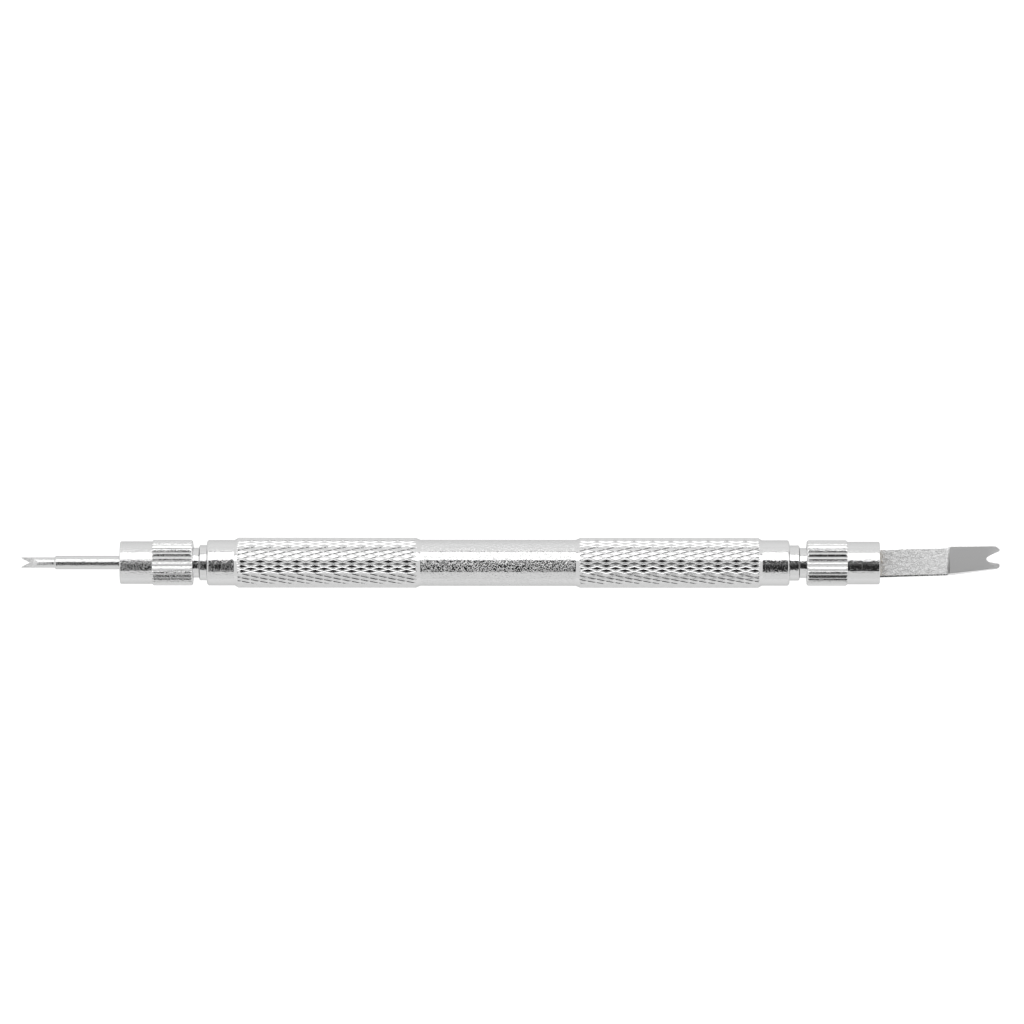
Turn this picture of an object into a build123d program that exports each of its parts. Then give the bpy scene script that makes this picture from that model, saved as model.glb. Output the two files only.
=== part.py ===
from build123d import *
import math
import os

# Double-ended spring bar tool for watch straps. Millimetres.
# The tool's axis is X, with the fine pin fork at -X and the wide blade fork at +X, and +Z is
# the side that the forks' faces look to. The origin is on the axis, midway between the fork ends.
# Each end has the same chuck: a stud in the handle, a slotted collet and a nut that closes it.
# Chuck pieces are drawn in a chuck frame: its origin is at the middle of the nut's front face,
# its +X points out of the handle, and everything inside the nut has a negative X.

# ---- stations along the tool's axis ----
OVERALL_LENGTH = 150.0
PIN_NOSE_X = -59.85
PIN_COLLAR_X = -46.52
PIN_GRIP_X = (-42.32, -13.82)
BLADE_GRIP_X = (9.98, 38.54)
BLADE_COLLAR_X = 42.72
BLADE_NOSE_X = 56.55

# ---- handle barrel ----
GRIP_D = 7.7
MIDDLE_D = 7.1
COLLAR_D = 7.0
COLLAR_CHAMFER = 0.25
GRIP_OUTER_CHAMFER = 0.6
GRIP_INNER_CHAMFER = 0.7
SHANK_HOLE_D = 4.02
SHANK_HOLE_DEPTH = 9.0
DRILL_POINT_DEPTH = 1.1

# ---- chuck stud ----
FLANGE_D = 5.42
FLANGE_LENGTH = 2.0
FLANGE_CHAMFER = 0.15
FLANGE_SEAT_CLEARANCE = 0.03
NECK_D = 4.6
PIN_FLANGE_X = -12.13
BLADE_FLANGE_X = -12.27
STUD_FRONT_X = -8.03
STUD_THREAD_D = 5.18
STUD_THREAD_END_X = -11.25
STUD_THREAD_CHAMFER = 0.3
STUD_SHANK_D = 4.0
STUD_SHANK_LENGTH = 6.0
STUD_SHANK_CHAMFER = 0.3
STUD_BORE_D = 3.06
STUD_BORE_END_X = -11.9
STUD_DRILL_D = 2.3
STUD_DRILL_END_X = -16.0

# ---- chuck nut ----
NUT_LENGTH = 11.2
NOSE_D = 6.56
NOSE_LENGTH = 5.0
NOSE_CHAMFER = 0.25
NOSE_HOLE_D = 4.6
NOSE_HOLE_LENGTH = 0.6
CONE_LENGTH = 2.4
NUT_BORE_D = 4.96
NUT_THREAD_D = 5.24
NUT_THREAD_X = -7.6
NUT_MOUTH_CHAMFER = 0.2
KNURL_D = 7.0
KNURL_ROOT_D = 6.56
KNURL_CREST_ANGLE = 3.2
KNURL_RIDGES = 28
KNURL_EDGE = 0.25

# ---- collet ----
COLLET_FRONT_X = -0.2
COLLET_SLIP = 0.02
COLLET_BODY_END_X = -8.0
COLLET_TAIL_D = 3.0
COLLET_TAIL_END_X = -11.0
COLLET_BORE_D = 2.16
COLLET_SLOT_WIDTH = 0.84
COLLET_SLOT_END_X = -7.0

# ---- fine fork tip ----
PIN_D = 2.1
PIN_BACK_X = -6.0
PIN_BACK_CHAMFER = 0.5
PIN_SHOULDER_CHAMFER = 0.2
FORK_NECK_D = 1.6
FORK_NECK_LENGTH = 5.1
PUSH_PIN_D = 0.8
PUSH_PIN_LENGTH = 5.55
PUSH_PIN_CHAMFER = 0.1
FLAT_LENGTH = 2.5
FLAT_RUNOUT = 0.7
FLAT_BACK_THICKNESS = 0.95
FLAT_END_THICKNESS = 0.6
V_NOTCH_DEPTH = 1.3
V_NOTCH_MOUTH = 1.32

# ---- wide fork blade ----
BLADE_THICKNESS = 0.76
BLADE_WIDTH = 4.45
BLADE_BACK_X = -6.96
TANG_WIDTH = 1.9
TANG_LENGTH = 2.97
TANG_CHAMFER = 0.2
FORK_ZONE_LENGTH = 7.95
FORK_EDGE_IN_PLUS_Y = 0.1
FORK_EDGE_IN_MINUS_Y = 0.78
NOTCH_DEPTH = 2.05
NOTCH_MOUTH_Y = (1.28, -0.6)
NOTCH_WAIST_Y = (0.68, -0.27)
NOTCH_WAIST_AHEAD = (0.55, 0.35)
NOTCH_FLOOR_Y = (0.32, 0.02)
PRONG_TIP_Y = (1.6, -1.15)
PRONG_CORNER_LENGTH = (0.6, 0.4)
PRONG_GRIND_LENGTH = 1.8
PRONG_END_THICKNESS = 0.5
LIFT_ANGLE = 6.0
LIFT_ARC_LENGTH = 8.0
LIFT_STRAIGHT = 1.3
DROP_ANGLE = 10.0
LEAN_ANGLE = 1.7

CUT_MARGIN = 1.0

PIN_TIP_X = PIN_NOSE_X + OVERALL_LENGTH / 2
BLADE_TIP_X = OVERALL_LENGTH / 2 - BLADE_NOSE_X


def turned(outline):
    """Solid of revolution about X from (x, radius) corners."""
    section = make_face(Polyline(*outline, close=True))
    return revolve(section, Axis.X, 360)


def extruded(outline, plane, half_depth):
    """Prism from an outline on a plane, the same depth to both sides of it."""
    section = plane * make_face(Polyline(*outline, close=True))
    return extrude(section, half_depth, both=True)


def handle_barrel():
    """One turned bar: collars, two grips, the smooth middle, and a stepped hole at each end."""
    collar, grip, middle = COLLAR_D / 2, GRIP_D / 2, MIDDLE_D / 2
    outer = [
        (PIN_COLLAR_X, 0),
        (PIN_COLLAR_X, collar - COLLAR_CHAMFER),
        (PIN_COLLAR_X + COLLAR_CHAMFER, collar),
        (PIN_GRIP_X[0], collar),
        (PIN_GRIP_X[0] + GRIP_OUTER_CHAMFER, grip),
        (PIN_GRIP_X[1] - GRIP_INNER_CHAMFER, grip),
        (PIN_GRIP_X[1], middle),
        (BLADE_GRIP_X[0], middle),
        (BLADE_GRIP_X[0] + GRIP_INNER_CHAMFER, grip),
        (BLADE_GRIP_X[1] - GRIP_OUTER_CHAMFER, grip),
        (BLADE_GRIP_X[1], collar),
        (BLADE_COLLAR_X - COLLAR_CHAMFER, collar),
        (BLADE_COLLAR_X, collar - COLLAR_CHAMFER),
        (BLADE_COLLAR_X, 0),
    ]
    pin_end = end_hole(PIN_COLLAR_X, PIN_NOSE_X - PIN_FLANGE_X + FLANGE_LENGTH, 1)
    blade_end = end_hole(BLADE_COLLAR_X, BLADE_NOSE_X + BLADE_FLANGE_X - FLANGE_LENGTH, -1)
    return turned(outer) - pin_end - blade_end


def end_hole(mouth_x, seat_x, inward):
    """The flange's seat and the shank's hole behind it, with a drill point."""
    seat, hole = FLANGE_D / 2 + FLANGE_SEAT_CLEARANCE, SHANK_HOLE_D / 2
    floor_x = seat_x + inward * SHANK_HOLE_DEPTH
    return turned([
        (mouth_x - inward * CUT_MARGIN, 0),
        (mouth_x - inward * CUT_MARGIN, seat),
        (seat_x, seat),
        (seat_x, hole),
        (floor_x, hole),
        (floor_x + inward * DRILL_POINT_DEPTH, 0),
    ])


def chuck_stud(flange_x):
    """Threaded stud: its shank screws into the barrel, and its bore takes the collet's tail."""
    thread, neck, flange, shank = STUD_THREAD_D / 2, NECK_D / 2, FLANGE_D / 2, STUD_SHANK_D / 2
    flange_back_x = flange_x - FLANGE_LENGTH
    shank_end_x = flange_back_x - STUD_SHANK_LENGTH
    outer = turned([
        (STUD_FRONT_X, 0),
        (STUD_FRONT_X, thread - STUD_THREAD_CHAMFER),
        (STUD_FRONT_X - STUD_THREAD_CHAMFER, thread),
        (STUD_THREAD_END_X, thread),
        (STUD_THREAD_END_X - (thread - neck), neck),
        (flange_x, neck),
        (flange_x, flange - FLANGE_CHAMFER),
        (flange_x - FLANGE_CHAMFER, flange),
        (flange_back_x, flange),
        (flange_back_x, shank),
        (shank_end_x + STUD_SHANK_CHAMFER, shank),
        (shank_end_x, shank - STUD_SHANK_CHAMFER),
        (shank_end_x, 0),
    ])
    bore = turned([
        (STUD_FRONT_X + CUT_MARGIN, 0),
        (STUD_FRONT_X + CUT_MARGIN, STUD_BORE_D / 2),
        (STUD_BORE_END_X, STUD_BORE_D / 2),
        (STUD_BORE_END_X, STUD_DRILL_D / 2),
        (STUD_DRILL_END_X, STUD_DRILL_D / 2),
        (STUD_DRILL_END_X - STUD_DRILL_D / 4, 0),
    ])
    return outer - bore


def knurl_outline():
    """Cross section of the straight knurl: ridges with narrow flat crests and V grooves."""
    crest, root = KNURL_D / 2, KNURL_ROOT_D / 2
    pitch = math.radians(360 / KNURL_RIDGES)
    half_crest = math.radians(KNURL_CREST_ANGLE) / 2
    corners = []
    for ridge in range(KNURL_RIDGES):
        middle = ridge * pitch
        for angle, radius in (
            (middle - half_crest, crest),
            (middle + half_crest, crest),
            (middle + pitch / 2, root),
        ):
            corners.append((radius * math.cos(angle), radius * math.sin(angle)))
    return corners


def chuck_nut():
    """Chuck nut: plain nose in front, straight-knurled grip behind, closing cone and thread inside."""
    nose, crest = NOSE_D / 2, KNURL_D / 2
    nose_part = turned([
        (0, 0),
        (0, nose - NOSE_CHAMFER),
        (-NOSE_CHAMFER, nose),
        (-NOSE_LENGTH, nose),
        (-NOSE_LENGTH, 0),
    ])
    grip_envelope = turned([
        (-NOSE_LENGTH, 0),
        (-NOSE_LENGTH, crest - KNURL_EDGE / 2),
        (-NOSE_LENGTH - KNURL_EDGE / 2, crest),
        (-NUT_LENGTH + KNURL_EDGE, crest),
        (-NUT_LENGTH, crest - KNURL_EDGE),
        (-NUT_LENGTH, 0),
    ])
    middle_x = -(NOSE_LENGTH + NUT_LENGTH) / 2
    ridged_bar = extruded(knurl_outline(), Plane.YZ.offset(middle_x), NUT_LENGTH / 2)
    return nose_part + (grip_envelope & ridged_bar) - nut_hole()


def nut_hole():
    """The nut's inside: front hole, closing cone, plain bore and thread."""
    cone_end_x = -NOSE_HOLE_LENGTH - CONE_LENGTH
    bore, thread = NUT_BORE_D / 2, NUT_THREAD_D / 2
    return turned([
        (CUT_MARGIN, 0),
        (CUT_MARGIN, NOSE_HOLE_D / 2),
        (-NOSE_HOLE_LENGTH, NOSE_HOLE_D / 2),
        (cone_end_x, bore),
        (NUT_THREAD_X, bore),
        (NUT_THREAD_X - (thread - bore), thread),
        (-NUT_LENGTH + NUT_MOUTH_CHAMFER, thread),
        (-NUT_LENGTH, thread + NUT_MOUTH_CHAMFER),
        (-NUT_LENGTH - CUT_MARGIN, thread + NUT_MOUTH_CHAMFER),
        (-NUT_LENGTH - CUT_MARGIN, 0),
    ])


def collet():
    """Four-jaw collet: cone in front, body, and a thin tail that runs in the stud's bore."""
    body = NUT_BORE_D / 2 - COLLET_SLIP
    front = NOSE_HOLE_D / 2 - COLLET_SLIP
    outer = turned([
        (COLLET_FRONT_X, COLLET_BORE_D / 2),
        (COLLET_FRONT_X, front),
        (-NOSE_HOLE_LENGTH, front),
        (-NOSE_HOLE_LENGTH - CONE_LENGTH, body),
        (COLLET_BODY_END_X, body),
        (COLLET_BODY_END_X, COLLET_TAIL_D / 2),
        (COLLET_TAIL_END_X, COLLET_TAIL_D / 2),
        (COLLET_TAIL_END_X, COLLET_BORE_D / 2),
    ])
    slot_length = CUT_MARGIN - COLLET_SLOT_END_X
    slot = Box(slot_length, NUT_BORE_D, COLLET_SLOT_WIDTH)
    slot = Pos(COLLET_SLOT_END_X + slot_length / 2, 0, 0) * slot
    return outer - slot - Rot(90, 0, 0) * slot


def fine_fork_tip():
    """Pin with a stepped neck, two ground flats, a V notch, and a push pin at its back."""
    pin, neck, push = PIN_D / 2, FORK_NECK_D / 2, PUSH_PIN_D / 2
    neck_x = PIN_TIP_X - FORK_NECK_LENGTH
    push_end_x = PIN_BACK_X - PUSH_PIN_LENGTH
    body = turned([
        (push_end_x, 0),
        (push_end_x, push - PUSH_PIN_CHAMFER),
        (push_end_x + PUSH_PIN_CHAMFER, push),
        (PIN_BACK_X, push),
        (PIN_BACK_X, pin - PIN_BACK_CHAMFER),
        (PIN_BACK_X + PIN_BACK_CHAMFER, pin),
        (neck_x - PIN_SHOULDER_CHAMFER, pin),
        (neck_x, neck),
        (PIN_TIP_X, neck),
        (PIN_TIP_X, 0),
    ])
    flat_x = PIN_TIP_X - FLAT_LENGTH
    ground_away = extruded(
        [
            (flat_x, neck),
            (flat_x + FLAT_RUNOUT, FLAT_BACK_THICKNESS / 2),
            (PIN_TIP_X, FLAT_END_THICKNESS / 2),
            (PIN_TIP_X + CUT_MARGIN, FLAT_END_THICKNESS / 2),
            (PIN_TIP_X + CUT_MARGIN, neck + CUT_MARGIN),
            (flat_x, neck + CUT_MARGIN),
        ],
        Plane.XZ,
        pin,
    )
    return body - ground_away - Rot(180, 0, 0) * ground_away - v_notch()


def v_notch():
    """The swallow-tail notch between the fine fork's two points."""
    slope = V_NOTCH_MOUTH / 2 / V_NOTCH_DEPTH
    past = V_NOTCH_DEPTH + CUT_MARGIN
    root_x = PIN_TIP_X - V_NOTCH_DEPTH
    outline = [(root_x, 0), (root_x + past, slope * past), (root_x + past, -slope * past)]
    return extruded(outline, Plane.XY, PIN_D)


def leant(*points):
    """Points of the blade's plan, carried towards +Y in front of the nut, where the blade leans."""
    slope = math.tan(math.radians(LEAN_ANGLE))
    return [(x, y + slope * max(x, 0)) for x, y in points]


def blade_plan():
    """The blade seen from above: tang, wide part, tapered fork zone, two prongs and a notch."""
    half, tang = BLADE_WIDTH / 2, TANG_WIDTH / 2
    tang_x = BLADE_BACK_X - TANG_LENGTH
    zone_x = BLADE_TIP_X - FORK_ZONE_LENGTH
    fork_top = half - FORK_EDGE_IN_PLUS_Y
    fork_bottom = -half + FORK_EDGE_IN_MINUS_Y
    edge = leant(
        (tang_x + TANG_CHAMFER, tang),
        (BLADE_BACK_X, tang),
        (BLADE_BACK_X, half),
        (0, half),
        (zone_x, half),
        (BLADE_TIP_X - PRONG_CORNER_LENGTH[0], fork_top),
        (BLADE_TIP_X, PRONG_TIP_Y[0]),
        (BLADE_TIP_X, PRONG_TIP_Y[1]),
        (BLADE_TIP_X - PRONG_CORNER_LENGTH[1], fork_bottom),
        (zone_x, -half),
        (0, -half),
        (BLADE_BACK_X, -half),
        (BLADE_BACK_X, -tang),
        (tang_x + TANG_CHAMFER, -tang),
        (tang_x, -tang + TANG_CHAMFER),
        (tang_x, tang - TANG_CHAMFER),
    )
    return make_face(Polyline(*edge, close=True)) - fork_notch()


def fork_notch():
    """The notch between the wide fork's prongs: a narrow floor, and sides that slope out to the mouth."""
    root_x = BLADE_TIP_X - NOTCH_DEPTH
    edge = leant(
        (BLADE_TIP_X + CUT_MARGIN, NOTCH_MOUTH_Y[0]),
        (BLADE_TIP_X, NOTCH_MOUTH_Y[0]),
        (root_x + NOTCH_WAIST_AHEAD[0], NOTCH_WAIST_Y[0]),
        (root_x, NOTCH_FLOOR_Y[0]),
        (root_x, NOTCH_FLOOR_Y[1]),
        (root_x + NOTCH_WAIST_AHEAD[1], NOTCH_WAIST_Y[1]),
        (BLADE_TIP_X, NOTCH_MOUTH_Y[1]),
        (BLADE_TIP_X + CUT_MARGIN, NOTCH_MOUTH_Y[1]),
    )
    return make_face(Polyline(*edge, close=True))


def blade_side():
    """The blade seen from its edge: it lifts along an arc, drops at a crisp bend and thins at the prongs."""
    half = BLADE_THICKNESS / 2
    lift, drop = math.radians(LIFT_ANGLE), math.radians(LIFT_ANGLE - DROP_ANGLE)
    arc_radius = LIFT_ARC_LENGTH / lift
    back_x = BLADE_BACK_X - TANG_LENGTH - CUT_MARGIN
    bend_x = BLADE_TIP_X - FORK_ZONE_LENGTH
    arc_end_x = bend_x - LIFT_STRAIGHT * math.cos(lift)
    arc_start_x = arc_end_x - arc_radius * math.sin(lift)
    bend_z = arc_radius * (1 - math.cos(lift)) + LIFT_STRAIGHT * math.sin(lift)
    even_run = FORK_ZONE_LENGTH - PRONG_GRIND_LENGTH
    ground_run = PRONG_GRIND_LENGTH + CUT_MARGIN
    grind_slope = (BLADE_THICKNESS - PRONG_END_THICKNESS) / 2 / PRONG_GRIND_LENGTH

    def surface(side):
        """One face of the blade, side being 1 above and -1 below."""
        offset = side * half
        radius = arc_radius - offset
        on_arc = [
            (arc_start_x + radius * math.sin(part * lift), arc_radius - radius * math.cos(part * lift))
            for part in (0, 0.5, 1)
        ]
        mitre = offset / math.cos((lift - drop) / 2)
        mitre_angle = (lift + drop) / 2
        bend = (bend_x - mitre * math.sin(mitre_angle), bend_z + mitre * math.cos(mitre_angle))
        ground = (bend[0] + even_run, bend[1] + even_run * math.tan(drop))
        slope = math.tan(drop) - side * grind_slope
        tip = (ground[0] + ground_run, ground[1] + ground_run * slope)
        return (back_x, offset), on_arc, (bend, ground, tip)

    top_back, top_arc, top_front = surface(1)
    low_back, low_arc, low_front = surface(-1)
    outline = Line(top_back, top_arc[0]) + ThreePointArc(*top_arc)
    outline += Polyline(top_arc[2], *top_front, *reversed(low_front), low_arc[2])
    outline += ThreePointArc(*reversed(low_arc)) + Polyline(low_arc[0], low_back, top_back)
    return make_face(outline)


def wide_fork_blade():
    """Flat fork: the side view's strip, cut to the plan."""
    strip = extrude(Plane.XZ * blade_side(), BLADE_WIDTH, both=True)
    plan = extrude(blade_plan(), GRIP_D, both=True)
    return strip & plan


def at_blade_end(shape):
    """Chuck frame to the tool's +X end."""
    return Pos(BLADE_NOSE_X, 0, 0) * shape


def at_pin_end(shape):
    """Chuck frame to the tool's -X end, turned half round about Z."""
    return Pos(PIN_NOSE_X, 0, 0) * Rot(0, 0, 180) * shape


def main():
    pieces = {
        "handle_barrel": handle_barrel(),
        "pin_chuck_stud": at_pin_end(chuck_stud(PIN_FLANGE_X)),
        "pin_collet": at_pin_end(collet()),
        "pin_chuck_nut": at_pin_end(chuck_nut()),
        "fine_fork_tip": at_pin_end(fine_fork_tip()),
        "blade_chuck_stud": at_blade_end(chuck_stud(BLADE_FLANGE_X)),
        "blade_collet": at_blade_end(collet()),
        "blade_chuck_nut": at_blade_end(chuck_nut()),
        "wide_fork_blade": at_blade_end(wide_fork_blade()),
    }
    os.makedirs("parts", exist_ok=True)
    for name, piece in pieces.items():
        export_step(piece, f"parts/{name}.step")


main()
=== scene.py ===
import math

import bmesh
import bpy
import numpy as np
from mathutils import Matrix, Vector


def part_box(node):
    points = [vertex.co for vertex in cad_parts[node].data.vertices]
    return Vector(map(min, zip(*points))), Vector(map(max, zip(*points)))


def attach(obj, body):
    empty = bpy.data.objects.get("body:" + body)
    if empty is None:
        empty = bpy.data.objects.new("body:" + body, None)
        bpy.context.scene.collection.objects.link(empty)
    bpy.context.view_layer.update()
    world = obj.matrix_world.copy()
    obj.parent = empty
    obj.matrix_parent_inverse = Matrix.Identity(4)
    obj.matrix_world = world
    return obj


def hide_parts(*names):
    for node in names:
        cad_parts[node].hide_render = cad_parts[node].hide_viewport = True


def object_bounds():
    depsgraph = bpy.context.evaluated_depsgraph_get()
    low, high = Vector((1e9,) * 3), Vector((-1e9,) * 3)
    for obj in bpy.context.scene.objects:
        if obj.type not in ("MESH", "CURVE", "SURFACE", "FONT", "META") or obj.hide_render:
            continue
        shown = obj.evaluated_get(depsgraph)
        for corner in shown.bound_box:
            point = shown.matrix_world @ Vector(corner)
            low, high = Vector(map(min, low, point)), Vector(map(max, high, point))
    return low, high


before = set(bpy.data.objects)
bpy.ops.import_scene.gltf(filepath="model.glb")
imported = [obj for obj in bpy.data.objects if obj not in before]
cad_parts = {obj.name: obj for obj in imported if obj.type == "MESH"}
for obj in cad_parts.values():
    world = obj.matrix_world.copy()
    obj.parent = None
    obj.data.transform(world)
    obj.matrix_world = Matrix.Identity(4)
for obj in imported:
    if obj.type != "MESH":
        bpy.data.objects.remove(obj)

# Looks of the double-ended spring bar tool. Shapes are drawn in millimetres and scaled to metres
# when they become objects. The tool's axis is X. Chuck pieces are drawn in a chuck frame: its
# origin is at the middle of the nut's front face and its +X points out of the handle.

CAD_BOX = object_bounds()
MM = 0.001
TAU = 2 * math.pi


# ---- stations and radii, read from the frame ----

def low(node):
    """Lowest corner of a CAD node's box, in millimetres."""
    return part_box(node)[0] / MM


def high(node):
    """Highest corner of a CAD node's box, in millimetres."""
    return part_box(node)[1] / MM


PIN_NOSE_X = low("pin_chuck_nut").x
BLADE_NOSE_X = high("blade_chuck_nut").x
PIN_COLLAR_X = low("handle_barrel").x
BLADE_COLLAR_X = high("handle_barrel").x
GRIP_R = high("handle_barrel").z
PIN_TIP_X = PIN_NOSE_X - low("fine_fork_tip").x
BLADE_TIP_X = high("wide_fork_blade").x - BLADE_NOSE_X
NUT_LENGTH = BLADE_NOSE_X - low("blade_chuck_nut").x
STUD_FRONT_X = high("blade_chuck_stud").x - BLADE_NOSE_X
FLANGE_BACK_X = {"pin": -14.13, "blade": -14.27}

CHUCK_PLACE = {
    "pin": Matrix.Translation((PIN_NOSE_X, 0, 0)) @ Matrix.Rotation(math.pi, 4, "Z"),
    "blade": Matrix.Translation((BLADE_NOSE_X, 0, 0)),
}

# ---- the rest of the driving sizes, in millimetres ----

PIN_GRIP_X = (PIN_COLLAR_X + 4.2, PIN_COLLAR_X + 32.7)
BLADE_GRIP_X = (BLADE_COLLAR_X - 32.74, BLADE_COLLAR_X - 4.18)
MIDDLE_R = 3.55
COLLAR_R = 3.5
OUTER_CHAMFER = 0.6
INNER_CHAMFER = 0.7
SEAT_R = 2.74
SHANK_HOLE_R = 2.01
SHANK_HOLE_DEPTH = 9.0
FOOT_STRIP = 0.12

KNURL_STARTS = 32
PIN_KNURL = {"step": 2.80, "x": -0.43, "turn": 0.056}
BLADE_KNURL = {"step": 2.84, "x": -1.10, "turn": -0.016}
KNURL_DEPTH = 0.076
KNURL_BREAKS = (0.03, 0.17, 0.2, 0.8, 0.83, 0.97)
KNURL_RISE = (0.0, 0.9, 1.0, 1.0, 0.9, 0.0)

THREAD_PITCH = 0.5
THREAD_BREAKS = (0.05, 0.09, 0.41, 0.45, 0.55, 0.59, 0.91, 0.95)
THREAD_RISE = (1.0, 0.94, 0.06, 0.0, 0.0, 0.06, 0.94, 1.0)
THREAD_SIDES = 96
ROUND_SIDES = 144


# ---- mesh tools ----

def turn_of(vert):
    """A vertex's angle about the X axis, from +Z towards +Y."""
    return math.atan2(vert.co.y, vert.co.z) % TAU


def rounded(corners, steps=4):
    """Outline points from (x, radius, cut) corners; a corner is rounded off from cut before to cut after."""
    points = []
    for index, (x, radius, cut) in enumerate(corners):
        corner = Vector((x, radius))
        if cut == 0:
            points.append(corner)
            continue
        start = corner + (Vector(corners[index - 1][:2]) - corner).normalized() * cut
        end = corner + (Vector(corners[(index + 1) % len(corners)][:2]) - corner).normalized() * cut
        for step in range(steps + 1):
            share = step / steps
            points.append(start.lerp(corner, share).lerp(corner.lerp(end, share), share))
    return points


def ring(bm, x, radius, turns):
    """Vertices round the X axis; a radius of 0 gives one vertex on the axis."""
    if radius < 1e-6:
        return [bm.verts.new((x, 0, 0))]
    return [bm.verts.new((x, radius * math.sin(turn), radius * math.cos(turn))) for turn in turns]


def join(bm, first, second):
    """Faces between two rings; a ring of one vertex closes the other with a fan."""
    count = max(len(first), len(second))
    for index in range(count):
        after = (index + 1) % count
        corners = (
            first[index % len(first)],
            first[after % len(first)],
            second[after % len(second)],
            second[index % len(second)],
        )
        bm.faces.new(tuple(dict.fromkeys(corners)))


def extend(bm, start, outline, crest=None):
    """Carries a ring on along an outline of (x, radius) points. crest(turn) caps the radius."""
    turns = [turn_of(vert) for vert in start]
    for x, radius in outline:
        following = ring(bm, x, radius, turns)
        if crest and len(following) > 1:
            for vert, turn in zip(following, turns):
                capped = min(radius, crest(turn))
                vert.co = (x, capped * math.sin(turn), capped * math.cos(turn))
        join(bm, start, following)
        start = following
    return start


def zip_rings(bm, first, second):
    """Triangles between two rings whose vertices stand at different angles."""
    steps = [(turn_of(vert), 0) for vert in first[1:]] + [(turn_of(vert), 1) for vert in second[1:]]
    at = [0, 0]
    rings = (first, second)
    for _, side in sorted(steps) + [(TAU, 0), (TAU, 1)]:
        here = [rings[k][at[k] % len(rings[k])] for k in (0, 1)]
        at[side] += 1
        bm.faces.new((*here, rings[side][at[side] % len(rings[side])]))


def even_turns(count):
    """Angles of an evenly divided ring."""
    return [index * TAU / count for index in range(count)]


def turned(outline, sides=ROUND_SIDES):
    """Bmesh of a surface of revolution about X, welded where the outline closes on itself."""
    bm = bmesh.new()
    start = ring(bm, outline[0][0], outline[0][1], even_turns(sides))
    for x, radius in outline[1:]:
        following = ring(bm, x, radius, even_turns(sides))
        join(bm, start, following)
        start = following
    bmesh.ops.remove_doubles(bm, verts=bm.verts, dist=1e-5)
    return bm


def relief_sheet(bm, point, wrap, span):
    """Sheet closed round the axis from a lattice whose node (p, q) is also (p + wrap[0], q + wrap[1]).

    point(p, q) gives (x, turn, radius). Each cell is split along its higher diagonal, so that the
    ridges stay crisp."""
    verts = {}

    def node(p, q):
        times = p // wrap[0]
        key = (p - times * wrap[0], q - times * wrap[1])
        if key not in verts:
            x, turn, radius = point(*key)
            vert = bm.verts.new((x, radius * math.sin(turn), radius * math.cos(turn)))
            verts[key] = (vert, radius)
        return verts[key]

    for p in range(wrap[0]):
        for q in span(p):
            (a, ra), (b, rb) = node(p, q), node(p + 1, q)
            (c, rc), (d, rd) = node(p + 1, q + 1), node(p, q + 1)
            halves = ((a, b, c), (a, c, d)) if ra + rc >= rb + rd else ((a, b, d), (b, c, d))
            for half in halves:
                bm.faces.new(half)


def slice_at(bm, x, clear=0):
    """Cuts all faces along the plane at x, and clears what lies beyond it on the side of clear's sign."""
    bmesh.ops.bisect_plane(
        bm,
        geom=[*bm.verts, *bm.edges, *bm.faces],
        dist=1e-4,
        plane_co=(x, 0, 0),
        plane_no=(clear or 1, 0, 0),
        clear_outer=bool(clear),
    )


def limit_radius(bm, envelope):
    """Brings vertices that stand outside envelope(x) back to it."""
    for vert in bm.verts:
        radius = math.hypot(vert.co.y, vert.co.z)
        limit = envelope(vert.co.x)
        if radius > limit:
            vert.co.y *= limit / radius
            vert.co.z *= limit / radius


def open_ring(bm, x):
    """The open edge loop at x, sorted by angle."""
    found = [vert for vert in bm.verts if vert.is_boundary and abs(vert.co.x - x) < 1e-3]
    return sorted(found, key=turn_of)


def crease(bm, degrees):
    """Marks edges between faces that turn more than an angle, so that both faces shade flat."""
    for edge in bm.edges:
        if edge.is_manifold and edge.calc_face_angle() > math.radians(degrees):
            edge.smooth = False


def add_piece(name, bm, end=None):
    """Object in metres from a bmesh in millimetres; end says which chuck frame it is drawn in."""
    if end:
        bm.transform(CHUCK_PLACE[end])
    bmesh.ops.recalc_face_normals(bm, faces=bm.faces)
    bm.transform(Matrix.Scale(MM, 4))
    mesh = bpy.data.meshes.new(name)
    bm.to_mesh(mesh)
    bm.free()
    mesh.shade_smooth()
    piece = bpy.data.objects.new(name, mesh)
    bpy.context.scene.collection.objects.link(piece)
    return piece


def even_shading(piece):
    """Flat faces keep flat shading next to small rounded edges."""
    modifier = piece.modifiers.new("even_shading", "WEIGHTED_NORMAL")
    modifier.keep_sharp = True
    modifier.weight = 80


# ---- handle barrel ----

def knurl_line(index):
    """Place of a lattice line, in groove steps."""
    count = len(KNURL_BREAKS)
    return index // count + KNURL_BREAKS[index % count]


def knurl_point(x_middle, knurl):
    """Lattice point of the diamond knurl: p runs across one family of grooves, q across the other."""
    count = len(KNURL_BREAKS)

    def point(p, q):
        a, b = knurl_line(p), knurl_line(q)
        depth = KNURL_DEPTH * (1 - min(KNURL_RISE[p % count], KNURL_RISE[q % count]))
        x = x_middle + knurl["x"] + (a - b) / 2 * knurl["step"]
        return x, knurl["turn"] + (a + b) / 2 * TAU / KNURL_STARTS, GRIP_R - depth

    return point


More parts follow.
